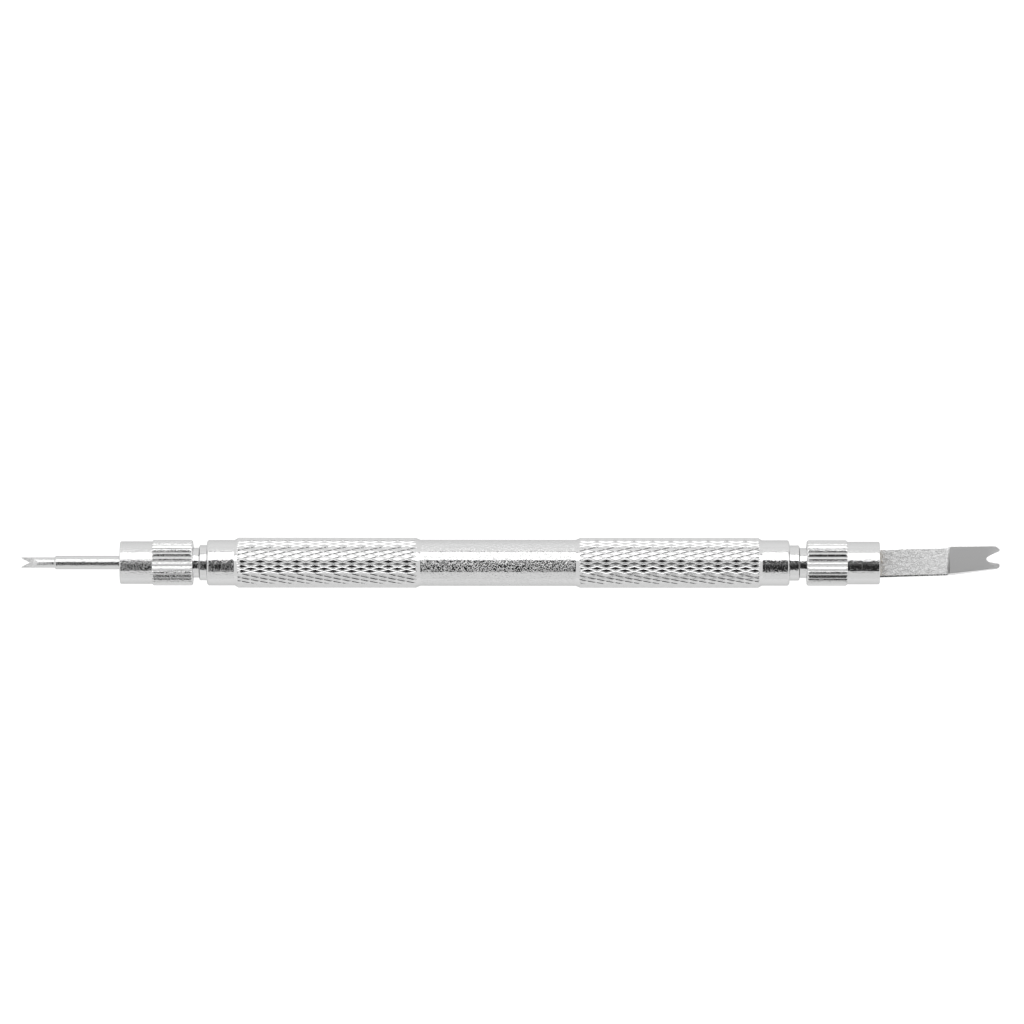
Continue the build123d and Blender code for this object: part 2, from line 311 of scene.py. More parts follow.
def knurled_grip(x_start, x_end, chamfers, feet, knurl):
    """Bmesh of one knurled grip, its ends chamfered down to the foot radii."""
    bm = bmesh.new()
    x_middle = (x_start + x_end) / 2
    reach = (x_end - x_start) / knurl["step"]
    count = len(KNURL_BREAKS)

    def span(p):
        a = knurl_line(p)
        return range(math.floor((a - reach) * count) - count, math.ceil((a + reach) * count) + count)

    relief_sheet(bm, knurl_point(x_middle, knurl), (KNURL_STARTS * count,) * 2, span)
    slices = 6
    for step in range(1, slices + 1):
        slice_at(bm, x_start + chamfers[0] * step / slices)
        slice_at(bm, x_end - chamfers[1] * step / slices)
    slice_at(bm, x_start, -1)
    slice_at(bm, x_end, 1)

    def envelope(x):
        at_start = feet[0] + (x - x_start) / chamfers[0] * (GRIP_R - feet[0])
        at_end = feet[1] + (x_end - x) / chamfers[1] * (GRIP_R - feet[1])
        return max(min(at_start, at_end, GRIP_R), min(feet))

    limit_radius(bm, envelope)
    return bm


def collar_and_hole(collar_x, grip_x, seat_x, inward):
    """Outline from a grip's foot over the collar and its end face to the bottom of the hole."""
    floor_x = seat_x + inward * SHANK_HOLE_DEPTH
    return rounded([
        (grip_x - inward * FOOT_STRIP, COLLAR_R, 0),
        (collar_x + inward * 0.25, COLLAR_R, 0.08),
        (collar_x, COLLAR_R - 0.25, 0.08),
        (collar_x, SEAT_R + 0.05, 0.03),
        (collar_x + inward * 0.05, SEAT_R, 0.03),
        (seat_x, SEAT_R, 0.03),
        (seat_x, SHANK_HOLE_R, 0.03),
        (floor_x, SHANK_HOLE_R, 0.03),
        (floor_x + inward * 1.1, 0, 0),
    ])


def handle_barrel():
    """The turned bar: both knurled grips, collars, smooth middle and end holes, as one mesh."""
    bm = knurled_grip(*PIN_GRIP_X, (OUTER_CHAMFER, INNER_CHAMFER), (COLLAR_R, MIDDLE_R), PIN_KNURL)
    right = knurled_grip(*BLADE_GRIP_X, (INNER_CHAMFER, OUTER_CHAMFER), (MIDDLE_R, COLLAR_R), BLADE_KNURL)
    carried = bpy.data.meshes.new("right_grip")
    right.to_mesh(carried)
    right.free()
    bm.from_mesh(carried)
    bpy.data.meshes.remove(carried)

    pin_seat_x = PIN_NOSE_X - FLANGE_BACK_X["pin"]
    blade_seat_x = BLADE_NOSE_X + FLANGE_BACK_X["blade"]
    for collar_x, grip_x, seat_x, inward in (
        (PIN_COLLAR_X, PIN_GRIP_X[0], pin_seat_x, 1),
        (BLADE_COLLAR_X, BLADE_GRIP_X[1], blade_seat_x, -1),
    ):
        outline = collar_and_hole(collar_x, grip_x, seat_x, inward)
        first = ring(bm, *outline[0], even_turns(ROUND_SIDES))
        zip_rings(bm, open_ring(bm, grip_x), first)
        extend(bm, first, outline[1:])

    left_foot, right_foot = PIN_GRIP_X[1], BLADE_GRIP_X[0]
    first = ring(bm, left_foot + FOOT_STRIP, MIDDLE_R, even_turns(ROUND_SIDES))
    last = extend(bm, first, [(right_foot - FOOT_STRIP, MIDDLE_R)])
    zip_rings(bm, open_ring(bm, left_foot), first)
    zip_rings(bm, last, open_ring(bm, right_foot))
    crease(bm, 9)
    return add_piece("knurled_handle", bm)


# ---- chuck pieces, in the chuck frame ----

def thread_point(root, crest):
    """Lattice point of a right-hand thread: p runs round the axis, q across the thread."""
    count = len(THREAD_BREAKS)

    def point(p, q):
        rise = THREAD_RISE[q % count]
        x = THREAD_PITCH * (q // count + THREAD_BREAKS[q % count] - p / THREAD_SIDES)
        return x, p * TAU / THREAD_SIDES, root + (crest - root) * rise

    return point


def thread_sheet(bm, x_back, x_front, root, crest):
    """Threaded sheet between two stations."""
    count = len(THREAD_BREAKS)
    rows = range(
        math.floor(x_back / THREAD_PITCH) * count - count,
        math.ceil(x_front / THREAD_PITCH + 1) * count + count,
    )
    relief_sheet(bm, thread_point(root, crest), (THREAD_SIDES, count), lambda p: rows)
    slice_at(bm, x_back, -1)
    slice_at(bm, x_front, 1)


STUD_CREST_R = 2.73
STUD_ROOT_R = 2.44
NUT_CREST_R = 2.50
NUT_ROOT_R = 2.78
NECK_R = 2.3
FLANGE_R = 2.71
FLANGE_LENGTH = 2.0
SHANK_R = 2.0
SHANK_LENGTH = 6.0
STUD_BORE_R = 1.53
STUD_BORE_END_X = -11.9
STUD_DRILL_R = 1.15
STUD_DRILL_END_X = -16.0
STUD_DRILL_POINT = 0.6


def chuck_stud(end):
    """Threaded stud: chamfered thread, neck, flange, shank, and a bore for the collet's tail."""
    bm = bmesh.new()
    chamfer = STUD_CREST_R - STUD_ROOT_R
    runout_x = 0.3 - NUT_LENGTH
    thread_sheet(bm, runout_x, STUD_FRONT_X, STUD_ROOT_R, STUD_CREST_R)
    for step in range(1, 4):
        slice_at(bm, STUD_FRONT_X - chamfer * step / 3)
        slice_at(bm, runout_x + chamfer * step / 3)

    def envelope(x):
        return STUD_ROOT_R - 0.005 + min(STUD_FRONT_X - x, x - runout_x)

    limit_radius(bm, envelope)
    flange_back_x = FLANGE_BACK_X[end]
    flange_x = flange_back_x + FLANGE_LENGTH
    shank_end_x = flange_back_x - SHANK_LENGTH
    back = rounded([
        (runout_x - 0.05, STUD_ROOT_R - 0.05, 0),
        (runout_x - (STUD_ROOT_R - NECK_R), NECK_R, 0.05),
        (flange_x, NECK_R, 0.06),
        (flange_x, FLANGE_R - 0.15, 0.05),
        (flange_x - 0.15, FLANGE_R, 0.05),
        (flange_back_x, FLANGE_R, 0.03),
        (flange_back_x, SHANK_R, 0.03),
        (shank_end_x + 0.3, SHANK_R, 0.05),
        (shank_end_x, SHANK_R - 0.3, 0.05),
        (shank_end_x, 0, 0),
    ])
    front = rounded([
        (STUD_FRONT_X, STUD_ROOT_R - 0.06, 0),
        (STUD_FRONT_X, STUD_BORE_R + 0.08, 0.03),
        (STUD_FRONT_X - 0.08, STUD_BORE_R, 0.03),
        (STUD_BORE_END_X, STUD_BORE_R, 0),
        (STUD_BORE_END_X, STUD_DRILL_R, 0),
        (STUD_DRILL_END_X, STUD_DRILL_R, 0),
        (STUD_DRILL_END_X - STUD_DRILL_POINT, 0, 0),
    ])
    for x, outline in ((runout_x, back), (STUD_FRONT_X, front)):
        first = ring(bm, *outline[0], even_turns(ROUND_SIDES))
        zip_rings(bm, open_ring(bm, x), first)
        extend(bm, first, outline[1:])
    return add_piece(f"{end}_chuck_threaded_stud", bm, end)


NUT_RIDGES = 28
NUT_CREST_KNURL_R = 3.5
NUT_ROOT_KNURL_R = 3.285
NUT_NOSE_R = 3.28
NUT_NOSE_LENGTH = 5.0
NUT_HOLE_R = 2.3
NUT_BORE_R = 2.48
NUT_CONE_X = (-3.0, -0.6)
NUT_THREAD_FRONT_X = -7.6
NUT_PROFILE = (0.0, 0.03, 0.36, 0.96, 1.0, 0.96, 0.36, 0.03)
NUT_PLACES = (0.0, 0.02, 0.1, 0.45, 0.5, 0.55, 0.9, 0.98)
NUT_TURN = {"pin": -0.31, "blade": 0.31}


def nut_turns(end):
    """Angles of a nut's rings, closer together in the knurl's grooves."""
    turns = [ridge + place + NUT_TURN[end] for ridge in range(NUT_RIDGES) for place in NUT_PLACES]
    return sorted(turn * TAU / NUT_RIDGES % TAU for turn in turns)


def nut_crest(end):
    """Function that gives the radius of the straight knurl at an angle."""

    def crest(turn):
        place = (turn / TAU * NUT_RIDGES - NUT_TURN[end]) % 1
        rise = np.interp(place, (*NUT_PLACES, 1.0), (*NUT_PROFILE, 0.0))
        return NUT_ROOT_KNURL_R + (NUT_CREST_KNURL_R - NUT_ROOT_KNURL_R) * float(rise)

    return crest


def chuck_nut(end):
    """Chuck nut: plain nose, straight-knurled grip, closing cone and internal thread."""
    bm = bmesh.new()
    mouth_x = -NUT_LENGTH + 0.25
    thread_sheet(bm, mouth_x, NUT_THREAD_FRONT_X, NUT_CREST_R, NUT_ROOT_R)

    def envelope(x):
        return NUT_BORE_R + min(NUT_THREAD_FRONT_X - x, 0.9 * (x - mouth_x) + 0.35)

    limit_radius(bm, envelope)
    crest, nose, hole = NUT_CREST_KNURL_R, NUT_NOSE_R, NUT_HOLE_R
    shoulder_x = -NUT_NOSE_LENGTH
    outline = rounded([
        (mouth_x - 0.05, 2.84, 0),
        (-NUT_LENGTH, 2.9, 0.04),
        (-NUT_LENGTH, crest - 0.25, 0.04),
        (-NUT_LENGTH + 0.25, crest, 0.12),
        (shoulder_x - 0.14, crest, 0.1),
        (shoulder_x, crest - 0.13, 0.05),
        (shoulder_x, nose, 0),
        (shoulder_x + 0.02, nose, 0),
        (-0.12, nose, 0.05),
        (0, nose - 0.12, 0.05),
        (0, hole + 0.06, 0.03),
        (-0.06, hole, 0.03),
        (NUT_CONE_X[1], hole, 0.05),
        (NUT_CONE_X[0], NUT_BORE_R, 0.05),
        (NUT_THREAD_FRONT_X + 0.05, NUT_BORE_R, 0),
    ])
    first = ring(bm, *outline[0], nut_turns(end))
    zip_rings(bm, open_ring(bm, mouth_x), first)
    last = extend(bm, first, outline[1:], nut_crest(end))
    zip_rings(bm, last, open_ring(bm, NUT_THREAD_FRONT_X))
    crease(bm, 9)
    return add_piece(f"{end}_chuck_knurled_nut", bm, end)


def cut_away(piece, cutters):
    """Subtracts the cutters, boxes or prisms, from a piece for good."""
    for cutter in cutters:
        modifier = piece.modifiers.new("cut", "BOOLEAN")
        modifier.operation = "DIFFERENCE"
        modifier.solver = "EXACT"
        modifier.object = cutter
    bpy.context.view_layer.update()
    evaluated = piece.evaluated_get(bpy.context.evaluated_depsgraph_get())
    mesh = bpy.data.meshes.new_from_object(evaluated)
    piece.modifiers.clear()
    piece.data = mesh
    for cutter in cutters:
        bpy.data.objects.remove(cutter)


def prism(outline, direction, half_depth, end):
    """Cutter: an outline of 3D points swept the same way to both sides along a direction."""
    bm = bmesh.new()
    sweep = Vector(direction) * half_depth
    near = [bm.verts.new(Vector(point) - sweep) for point in outline]
    far = [bm.verts.new(Vector(point) + sweep) for point in outline]
    bm.faces.new(near)
    bm.faces.new(far[::-1])
    join(bm, near, far)
    return add_piece("cutter", bm, end)


def break_edges(piece, width, segments=2):
    """Rounds every sharp edge a little."""
    modifier = piece.modifiers.new("broken_edges", "BEVEL")
    modifier.width = width * MM
    modifier.segments = segments
    modifier.limit_method = "ANGLE"
    modifier.angle_limit = math.radians(28)
    modifier.miter_outer = "MITER_ARC"
    modifier.use_clamp_overlap = True
    even_shading(piece)


def collet(end):
    """Four-jaw brass collet, cross-slotted from its front."""
    front_x, body_end_x, back_x = -0.2, -8.0, -11.0
    front, body, tail, bore = 2.28, 2.46, 1.5, 1.08
    slot_end_x, slot_half_width = -7.0, 0.42
    outline = [
        (front_x, bore),
        (front_x, front),
        (NUT_CONE_X[1], front),
        (NUT_CONE_X[0], body),
        (body_end_x, body),
        (body_end_x, tail),
        (back_x, tail),
        (back_x, bore),
        (front_x, bore),
    ]
    piece = add_piece(f"{end}_chuck_collet", turned(outline, 96), end)
    cutters = []
    for across in (Vector((0, 1, 0)), Vector((0, 0, 1))):
        side = across * slot_half_width
        places = ((slot_end_x, -1), (1, -1), (1, 1), (slot_end_x, 1))
        corners = [Vector((x, 0, 0)) + side * sign for x, sign in places]
        cutters.append(prism(corners, across.cross(Vector((1, 0, 0))), 3, end))
    cut_away(piece, cutters)
    break_edges(piece, 0.04)
    return piece


def fine_fork_tip():
    """Fine fork: a stepped pin with two ground flats, a V notch and a push pin at its back."""
    pin, neck, push = 1.05, 0.8, 0.4
    back_x, pin_back_x, neck_x = -11.55, -6.0, PIN_TIP_X - 5.1
    outline = rounded([
        (back_x, 0, 0),
        (back_x, push - 0.1, 0.03),
        (back_x + 0.1, push, 0.03),
        (pin_back_x, push, 0.03),
        (pin_back_x, pin - 0.5, 0.05),
        (pin_back_x + 0.5, pin, 0.08),
        (neck_x - 0.2, pin, 0.05),
        (neck_x, neck, 0.05),
        (PIN_TIP_X, neck, 0),
        (PIN_TIP_X, 0, 0),
    ])
    piece = add_piece("fine_fork_pin", turned(outline, 96), "pin")
    flat_x, past_x, past_z = PIN_TIP_X - 2.5, PIN_TIP_X + 1, 2
    flat_z, prong_z = 0.475, 0.3
    cutters = []
    for side in (1, -1):
        corners = [(flat_x, neck), (flat_x + 0.7, flat_z), (PIN_TIP_X, prong_z)]
        corners += [(past_x, prong_z), (past_x, past_z), (flat_x, past_z)]
        cutters.append(prism([(x, 0, side * z) for x, z in corners], (0, 1, 0), 2, "pin"))
    notch_x, notch_half_width = PIN_TIP_X - 1.3, 0.66
    past_half_width = notch_half_width * (past_x - notch_x) / (PIN_TIP_X - notch_x)
    corners = [(notch_x, 0, 0), (past_x, past_half_width, 0), (past_x, -past_half_width, 0)]
    cutters.append(prism(corners, (0, 0, 1), 2, "pin"))
    cut_away(piece, cutters)
    break_edges(piece, 0.03)
    return piece


# ---- wide fork blade ----

BLADE_THICKNESS = 0.76
BLADE_HALF_WIDTH = 2.225
BLADE_BACK_X = -6.96
TANG_HALF_WIDTH = 0.95
TANG_LENGTH = 2.97
FORK_ZONE_LENGTH = 7.95
FORK_EDGE_IN = {"+y": 0.1, "-y": 0.78}
NOTCH_DEPTH = 2.05
BEND_X = BLADE_TIP_X - FORK_ZONE_LENGTH
BEND_STEP = 0.05
BEND_STEPS = 5
LIFT = math.radians(6.0)
DROP = math.radians(4.0)
LEAN_SLOPE = math.tan(math.radians(1.7))
LIFT_ARC = 8.0
LIFT_STRAIGHT = 1.3
GRIND_LENGTH = 1.8
PRONG_END_THICKNESS = 0.5
BEVELLED_SIDE_Y = -1.3


def blade_plan():
    """Corners of the straight blade from above: tang, wide part, tapered fork zone, prongs and notch.

    It ends a little short of the CAD blade, because bending carries the prongs' edges forward."""
    half, tang = BLADE_HALF_WIDTH, TANG_HALF_WIDTH
    tang_x = BLADE_BACK_X - TANG_LENGTH
    tip_x = BLADE_TIP_X - 0.02
    zone_x = tip_x - FORK_ZONE_LENGTH
    top, bottom = half - FORK_EDGE_IN["+y"], FORK_EDGE_IN["-y"] - half
    root_x = tip_x - NOTCH_DEPTH
    return [
        (tang_x, tang, 0.2),
        (BLADE_BACK_X, tang, 0.1),
        (BLADE_BACK_X, half, 0.15),
        (zone_x, half, 0.6),
        (tip_x - 0.6, top, 0.25),
        (tip_x, 1.6, 0.1),
        (tip_x, 1.28, 0.1),
        (root_x + 0.55, 0.68, 0.3),
        (root_x, 0.32, 0.17),
        (root_x, 0.02, 0.13),
        (root_x + 0.35, -0.27, 0.2),
        (tip_x, -0.6, 0.1),
        (tip_x, -1.15, 0.15),
        (tip_x - 0.4, bottom, 0.2),
        (zone_x, -half, 0.6),
        (BLADE_BACK_X, -half, 0.15),
        (BLADE_BACK_X, -tang, 0.1),
        (tang_x, -tang, 0.2),
    ]


def blade_centre_line(x):
    """Height and slope angle of the blade's middle surface at a station."""
    radius = LIFT_ARC / LIFT
    arc_end_x = BEND_X - LIFT_STRAIGHT * math.cos(LIFT)
    arc_start_x = arc_end_x - radius * math.sin(LIFT)
    bend_z = radius * (1 - math.cos(LIFT)) + LIFT_STRAIGHT * math.sin(LIFT)
    if x <= arc_start_x:
        return 0, 0
    if x <= arc_end_x:
        angle = math.asin((x - arc_start_x) / radius)
        return radius * (1 - math.cos(angle)), angle
    if x <= BEND_X:
        return bend_z - (BEND_X - x) * math.tan(LIFT), LIFT
    return bend_z - (x - BEND_X) * math.tan(DROP), -DROP


def bent(x, height):
    """Where a point of the flat blade goes, its height measured from the middle surface."""
    soft = BEND_STEP * BEND_STEPS
    z, angle = blade_centre_line(x)
    if abs(x - BEND_X) < soft:
        before, after = blade_centre_line(BEND_X - soft), blade_centre_line(BEND_X + soft)
        share = (x - BEND_X + soft) / (2 * soft)
        peak = blade_centre_line(BEND_X)[0]
        z = (1 - share) ** 2 * before[0] + 2 * share * (1 - share) * peak + share ** 2 * after[0]
        angle = before[1] + (after[1] - before[1]) * share
    ground = max(0, x - (BLADE_TIP_X - GRIND_LENGTH)) / GRIND_LENGTH
    thinned = 1 + (PRONG_END_THICKNESS / BLADE_THICKNESS - 1) * ground
    reach = height * thinned
    return x - reach * math.sin(angle), z + reach * math.cos(angle)


def rim_shape(x, y):
    """Inset, depth and flatness of the broken edge at a point of the plan's outline.

    Behind the bend the edges are tumbled. In front of it the -Y side has a bevel, and the rest is
    crisp as far as the prongs, which are rounded."""
    tumbled = np.array((0.26, 0.07, 1.0))
    bevel = np.array((0.36, 0.2, 1.0))
    crisp = np.array((0.05, 0.05, 0.0))
    prong = np.array((0.07, 0.07, 0.0))
    zone, prong_length = (bevel, 0.9) if y < BEVELLED_SIDE_Y else (crisp, 1.9)
    into_zone = min(max((x - BEND_X + 0.2) / 0.4, 0), 1)
    near_tip = min(max((x - BLADE_TIP_X + prong_length) / 0.5, 0), 1)
    shape = tumbled + (zone - tumbled) * into_zone
    return shape + (prong - shape) * near_tip


def inset_ring(bm, outline, part, side):
    """Ring of the blade's rim: part goes from 0 at the face's edge to 1 at the side."""
    made = []
    for index, point in enumerate(outline):
        before = (point - outline[index - 1]).normalized()
        after = (outline[(index + 1) % len(outline)] - point).normalized()
        inward = Vector((before.y + after.y, -before.x - after.x)).normalized()
        miter = max(inward.dot(Vector((before.y, -before.x))), 0.5)
        inset, depth, flatness = rim_shape(point.x, point.y)
        turn = part * math.pi / 2
        across = (1 - math.sin(turn)) * (1 - flatness) + (1 - part) * flatness
        down = (1 - math.cos(turn)) * (1 - flatness) + part * flatness
        moved = point + inward * (inset * across / miter)
        made.append(bm.verts.new((moved.x, moved.y, side * (BLADE_THICKNESS / 2 - depth * down))))
    return made


def wide_fork_blade():
    """Flat fork: made flat with rounded edges, cut across wherever it bends, then leant and bent."""
    bm = bmesh.new()
    outline = rounded(blade_plan(), 5)
    levels = [(part / 4, 1) for part in range(5)] + [(1 - part / 4, -1) for part in range(5)]
    rings = [inset_ring(bm, outline, part, side) for part, side in levels]
    for first, second in zip(rings, rings[1:]):
        join(bm, first, second)
    bm.faces.new(rings[0])
    bm.faces.new(rings[-1][::-1])
    cuts = [BEND_X - LIFT_STRAIGHT - LIFT_ARC * step / 12 for step in range(13)]
    cuts += [BEND_X + BEND_STEP * step for step in range(-BEND_STEPS, BEND_STEPS + 1)]
    cuts += [0, BLADE_TIP_X - GRIND_LENGTH]
    for x in cuts:
        slice_at(bm, x)
    for vert in bm.verts:
        vert.co.y += LEAN_SLOPE * max(vert.co.x, 0)
        vert.co.x, vert.co.z = bent(vert.co.x, vert.co.z)
    piece = add_piece("wide_fork_flat_blade", bm, "blade")
    even_shading(piece)
    return piece


# ---- materials ----

def grey(level):
    """A neutral colour."""
    return (level, level, level)


class Nodes:
    """A node tree being built behind its shader, and short ways to add nodes to it."""

    def __init__(self, tree, shader):
        self.tree = tree
        self.shader = tree.nodes[shader]

    def node(self, kind, inputs=None, **properties):
        """Adds a node; inputs maps socket names or numbers to values or to other nodes' outputs."""
        made = self.tree.nodes.new(kind)
        for name, value in properties.items():
            setattr(made, name, value)
        for socket, value in (inputs or {}).items():
            if isinstance(value, bpy.types.NodeSocket):
                self.tree.links.new(value, made.inputs[socket])
            else:
                made.inputs[socket].default_value = value
        return made

    def math(self, operation, *values):
        """Result of a math node; each value is a number or another node's output."""
        return self.node("ShaderNodeMath", dict(enumerate(values)), operation=operation).outputs[0]

    def blend(self, base, other, share):
        """Value that goes from base to other with share."""
        made = self.node("ShaderNodeMix", {"Factor": share, 2: base, 3: other}, data_type="FLOAT")
        return made.outputs[0]

    def place(self, stretch=(1, 1, 1)):
        """Object coordinates, stretched along the axes."""
        where = self.node("ShaderNodeTexCoord").outputs["Object"]
        return self.node("ShaderNodeMapping", {"Vector": where, "Scale": stretch}).outputs["Vector"]

    def axes(self):
        """The object coordinates apart, by the names X, Y and Z."""
        return self.node("ShaderNodeSeparateXYZ", {0: self.place()}).outputs

    def noise(self, size, detail=2.0, roughness=0.5, stretch=(1, 1, 1)):
        """Noise with features of about size millimetres, from 0 to 1."""
        shape = {"Scale": 1 / (size * MM), "Detail": detail, "Roughness": roughness}
        made = self.node("ShaderNodeTexNoise", {"Vector": self.place(stretch), **shape})
        return made.outputs["Fac"]

    def spread(self, value, low_in, high_in, low_out, high_out):
        """Value mapped from one range to another."""
        made = self.node(
            "ShaderNodeMapRange",
            {"Value": value, 1: low_in, 2: high_in, 3: low_out, 4: high_out},
        )
        return made.outputs["Result"]

    def tint(self, factor, dark, light):
        """Links the base colour to a blend of two colours."""
        ramp = self.node("ShaderNodeValToRGB", {"Fac": factor})
        ramp.color_ramp.elements[0].color = (*dark, 1)
        ramp.color_ramp.elements[1].color = (*light, 1)
        self.link(ramp.outputs["Color"], "Base Color")

    def link(self, value, socket):
        """Links a value to one of the shader's sockets."""
        self.tree.links.new(value, self.shader.inputs[socket])

    def bump(self, height, depth, strength=1.0, over=None):
        """Bump of a depth in millimetres; over is another bump's output to add to."""
        inputs = {"Height": height, "Distance": depth * MM, "Strength": strength}
        if over is not None:
            inputs["Normal"] = over
        return self.node("ShaderNodeBump", inputs).outputs["Normal"]


class Surface(Nodes):
    """A material around a Principled shader."""

    def __init__(self, name, colour, roughness, metallic=1.0):
        self.material = bpy.data.materials.new(name)
        self.material.use_nodes = True
        super().__init__(self.material.node_tree, "Principled BSDF")
        self.shader.inputs["Base Color"].default_value = (*colour, 1)
        self.shader.inputs["Metallic"].default_value = metallic
        self.shader.inputs["Roughness"].default_value = roughness
        self.shader.inputs["Specular Tint"].default_value = (*grey(0.72), 1)

    def polished(self, fine):
        """Uneven roughness of bright plating, from a fine noise."""
        return self.spread(fine, 0.3, 0.7, 0.04, 0.12)


def plated_handle_material():
    """Bright plating over a turned bar, pitted on the smooth middle and less on the collars."""
    surface = Surface("plated_handle", grey(0.57), roughness=0.12)
    centre, half = (PIN_GRIP_X[1] + BLADE_GRIP_X[0]) / 2, (BLADE_GRIP_X[0] - PIN_GRIP_X[1]) / 2
    along = surface.axes()["X"]
    away = surface.math("ABSOLUTE", surface.math("SUBTRACT", along, centre * MM))
    middle = surface.spread(away, (half - 0.2) * MM, half * MM, 1.0, 0.0)
    pin_collar = surface.spread(along, (PIN_GRIP_X[0] - 0.1) * MM, PIN_GRIP_X[0] * MM, 0.37, 0.0)
    blade_collar = surface.spread(along, BLADE_GRIP_X[1] * MM, (BLADE_GRIP_X[1] + 0.1) * MM, 0.0, 0.28)
    collars = surface.math("ADD", pin_collar, blade_collar)
    share = surface.math("ADD", middle, collars)
    pits = surface.spread(surface.noise(0.3), 0.47, 0.56, 0.0, 1.0)
    fine = surface.noise(0.25)
    surface.link(surface.polished(fine), "Roughness")
    peel = surface.bump(fine, 0.006)
    surface.link(surface.bump(pits, 0.032, share, peel), "Normal")
    return surface.material


def plated_chuck_material():
    """Bright plating on the threaded studs."""
    surface = Surface("plated_chuck", grey(0.56), roughness=0.1)
    fine = surface.noise(0.25)
    surface.link(surface.polished(fine), "Roughness")
    pits = surface.spread(surface.noise(0.3), 0.5, 0.6, 0.0, 1.0)
    surface.link(surface.bump(pits, 0.006), "Normal")
    return surface.material


def plated_nut_material():
    """Bright plating on the nuts: pits and turning lines, deeper at the pin end, and a satin knurl."""
    surface = Surface("plated_nut", grey(0.56), roughness=0.1)
    where = surface.axes()
    squares = [surface.math("MULTIPLY", where[axis], where[axis]) for axis in "YZ"]
    nose, knurl = (NUT_NOSE_R * MM) ** 2, (NUT_ROOT_KNURL_R * MM) ** 2
    satin = surface.spread(surface.math("ADD", *squares), nose * 1.001, knurl * 1.001, 0.0, 0.1)
    fine = surface.noise(0.25)
    surface.link(surface.math("ADD", surface.polished(fine), satin), "Roughness")
    lines = surface.noise(0.4, stretch=(3, 0.4, 0.4))
    pits = surface.spread(surface.noise(0.3), 0.47, 0.57, 0.0, 1.0)
    worn = surface.spread(where["X"], -0.05, 0.05, 0.015, 0.007)
    relief = surface.math("MULTIPLY", surface.math("ADD", pits, lines), worn)
    surface.link(surface.bump(relief, 1.0), "Normal")
    return surface.material


def brass_material():
    """Turned brass of the collets."""
    surface = Surface("collet_brass", (0.80, 0.58, 0.28), roughness=0.28)
    stains = surface.noise(1.5, 4, 0.6)
    surface.tint(surface.spread(stains, 0.35, 0.7, 0, 1), (0.62, 0.42, 0.18), (0.86, 0.64, 0.33))
    lines = surface.noise(0.5, stretch=(15, 1, 1))
    surface.link(surface.spread(lines, 0.3, 0.7, 0.2, 0.38), "Roughness")
    surface.link(surface.bump(lines, 0.004), "Normal")
    return surface.material


def pin_steel_material():
    """Steel of the fine fork, with lines round the pin and duller ground flats."""
    surface = Surface("pin_steel", grey(0.54), roughness=0.16)
    lines = surface.noise(0.4, 3, 0.6, (3, 0.4, 0.4))
    flats_x = PIN_NOSE_X - PIN_TIP_X + 2.2
    ground = surface.spread(surface.axes()["X"], flats_x * MM, (flats_x + 0.2) * MM, 0.3, 0.0)
    polish = surface.spread(lines, 0.3, 0.7, 0.05, 0.17)
    surface.link(surface.math("ADD", polish, ground), "Roughness")
    pits = surface.spread(surface.noise(0.25), 0.47, 0.57, 0.0, 1.0)
    pitted = surface.bump(pits, 0.008)
    surface.link(surface.bump(lines, 0.016, over=pitted), "Normal")
    return surface.material


def blade_steel_material():
    """Steel of the wide fork: tumbled and mottled behind the bend, smoother in front of it. Its base colour
    is painted darker behind the bend and lighter in front of it, as painted shade and painted light for how
    each side of the bend shows under the lights.
    """
    surface = Surface("blade_steel", grey(0.6), roughness=0.36)
    bend_x = BLADE_NOSE_X + BEND_X
    where = surface.axes()
    along = where["X"]
    tumbled = surface.spread(along, (bend_x - 0.05) * MM, (bend_x + 0.05) * MM, 1.0, 0.0)
    mottle = surface.noise(0.5, 3, 0.6)
    # Painted shade and painted light: behind the bend the base colour is set darker (0.55 to 0.73, with
    # random mottle), in front of it lighter (0.75), for how brightly each side of the bend shows.
    shade = surface.spread(mottle, 0.3, 0.7, 0.55, 0.73)
    level = surface.blend(0.75, shade, tumbled)
    colour = surface.node("ShaderNodeCombineColor", {0: level, 1: level, 2: level}).outputs["Color"]
    surface.link(colour, "Base Color")
    tip_x = BLADE_NOSE_X + BLADE_TIP_X
    centre = surface.spread(along, BLADE_NOSE_X * MM, tip_x * MM, 0.0, LEAN_SLOPE * BLADE_TIP_X * MM)
    away = surface.math("ABSOLUTE", surface.math("SUBTRACT", where["Y"], centre))
    face = surface.spread(away, 1.96 * MM, 2.0 * MM, 0.46, 0.14)
    surface.link(surface.blend(0.34, face, tumbled), "Roughness")
    prong_x = tip_x - 2.0
    prongs = surface.spread(along, prong_x * MM, (prong_x + 0.3) * MM, 0.0, 0.5)
    share = surface.math("ADD", tumbled, prongs)
    grain = surface.noise(0.22, 2, 0.6)
    soft = surface.bump(mottle, 0.05, share)
    surface.link(surface.bump(grain, 0.03, share, soft), "Normal")
    return surface.material


# ---- surroundings ----

class Sky(Nodes):
    """The world's light."""

    def __init__(self):
        world = bpy.data.worlds.new("studio")
        world.use_nodes = True
        super().__init__(world.node_tree, "Background")
        bpy.context.scene.world = world

    def past(self, angle, edge, width):
        """0 below an edge and 1 above it, in degrees, blurred over a width."""
        start, end = math.radians(edge - width / 2), math.radians(edge + width / 2)
        made = self.node(
            "ShaderNodeMapRange",
            {"Value": angle, 1: start, 2: end, 3: 0.0, 4: 1.0},
            interpolation_type="SMOOTHSTEP",
        )
        return made.outputs["Result"]


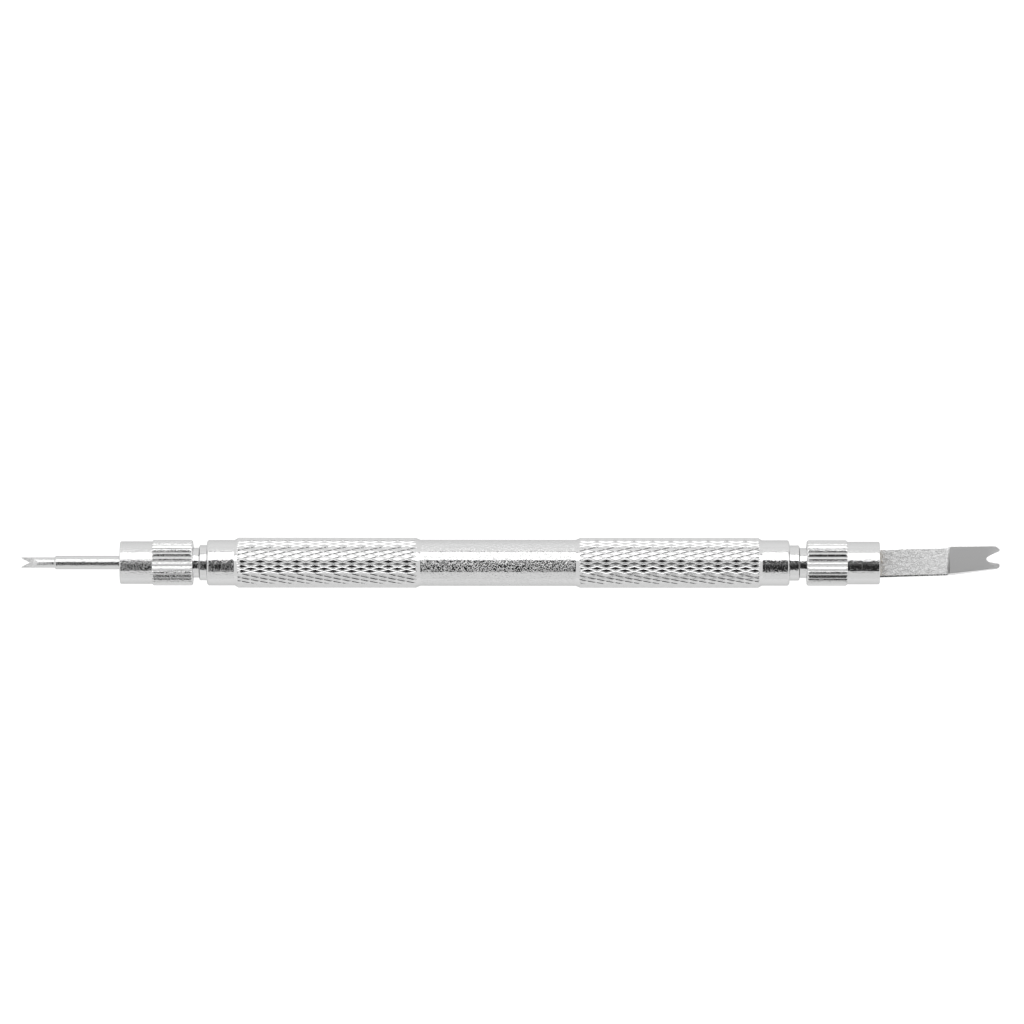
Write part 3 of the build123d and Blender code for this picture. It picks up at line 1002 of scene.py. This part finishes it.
def studio_light():
    """A long softbox on the +Y side of the zenith, a black flag on the -Y side, and a pale room.

    Angles are degrees from the zenith: tilt towards +Y, lean towards +X. The flag's upper part is
    less dark, and the flag ends some way along X, so that the shoulders facing +-X stay pale."""
    sky = Sky()
    where = sky.node("ShaderNodeTexCoord").outputs["Generated"]
    x, y, z = sky.node("ShaderNodeSeparateXYZ", {0: where}).outputs
    tilt = sky.math("ARCTAN2", y, z)
    lean = sky.math("ARCTAN2", x, z)
    room, softbox, flag, flag_top, rim, glow = 1.1, 2.4, 0.03, 0.22, 0.6, 1.25
    level = sky.blend(flag, flag_top, sky.past(tilt, -9, 4))
    level = sky.blend(level, flag, sky.past(tilt, 3, 4))
    level = sky.blend(room, level, sky.past(lean, -14, 5))
    level = sky.blend(level, room, sky.past(lean, 32, 6))
    level = sky.blend(room, level, sky.past(tilt, -46.6, 2.5))
    level = sky.blend(level, softbox, sky.past(tilt, 14.2, 2.5))
    level = sky.blend(level, rim, sky.past(tilt, 56, 2))
    level = sky.blend(level, glow, sky.past(tilt, 61, 3))
    level = sky.blend(level, room, sky.past(tilt, 85, 35))
    sky.link(level, "Strength")
    sky.shader.inputs["Color"].default_value = (1, 1, 1, 1)


def floor():
    """Plain pale floor under the grips."""
    size, gap = 8.0, 0.02 * MM
    z = CAD_BOX[0].z - gap
    mesh = bpy.data.meshes.new("floor")
    corners = [(-size, -size, z), (size, -size, z), (size, size, z), (-size, size, z)]
    mesh.from_pydata(corners, [], [(0, 1, 2, 3)])
    piece = bpy.data.objects.new("floor", mesh)
    bpy.context.scene.collection.objects.link(piece)
    surface = Surface("pale_floor", grey(0.12), roughness=0.9, metallic=0.0)
    surface.shader.inputs["Emission Color"].default_value = (1, 1, 1, 1)
    surface.shader.inputs["Emission Strength"].default_value = 1.0
    piece.data.materials.append(surface.material)


def camera():
    """Camera straight above the tool, with +Y up in the picture."""
    frame_width, distance = 0.157, 1.2
    aim_x, aim_y, roll = 0.00021, 0.00779, math.radians(0.035)
    data = bpy.data.cameras.new("camera")
    data.sensor_width = 36
    data.lens = data.sensor_width * distance / frame_width
    data.clip_end = 20
    made = bpy.data.objects.new("camera", data)
    made.location = (aim_x, aim_y, distance)
    made.rotation_euler = (0, 0, roll)
    bpy.context.scene.collection.objects.link(made)
    bpy.context.scene.camera = made


def dress(piece, body, node, material):
    """Gives a piece its material and its body, and hides the CAD node that it stands for."""
    piece.data.materials.clear()
    piece.data.materials.append(material)
    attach(piece, body)
    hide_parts(node)


def main():
    """Makes the nine pieces, the light, the floor and the camera."""
    handle_plate = plated_handle_material()
    chuck_plate = plated_chuck_material()
    nut_plate = plated_nut_material()
    brass = brass_material()
    barrel = handle_barrel()
    even_shading(barrel)
    dress(barrel, "handle", "handle_barrel", handle_plate)
    for end in ("pin", "blade"):
        stud = chuck_stud(end)
        even_shading(stud)
        dress(stud, "handle", f"{end}_chuck_stud", chuck_plate)
        nut = chuck_nut(end)
        even_shading(nut)
        dress(nut, f"{end}_nut_body", f"{end}_chuck_nut", nut_plate)
        dress(collet(end), f"{end}_collet_body", f"{end}_collet", brass)
    dress(fine_fork_tip(), "fine_tip", "fine_fork_tip", pin_steel_material())
    dress(wide_fork_blade(), "wide_blade", "wide_fork_blade", blade_steel_material())
    studio_light()
    floor()
    camera()
    bpy.context.scene.view_settings.view_transform = "Standard"


main()
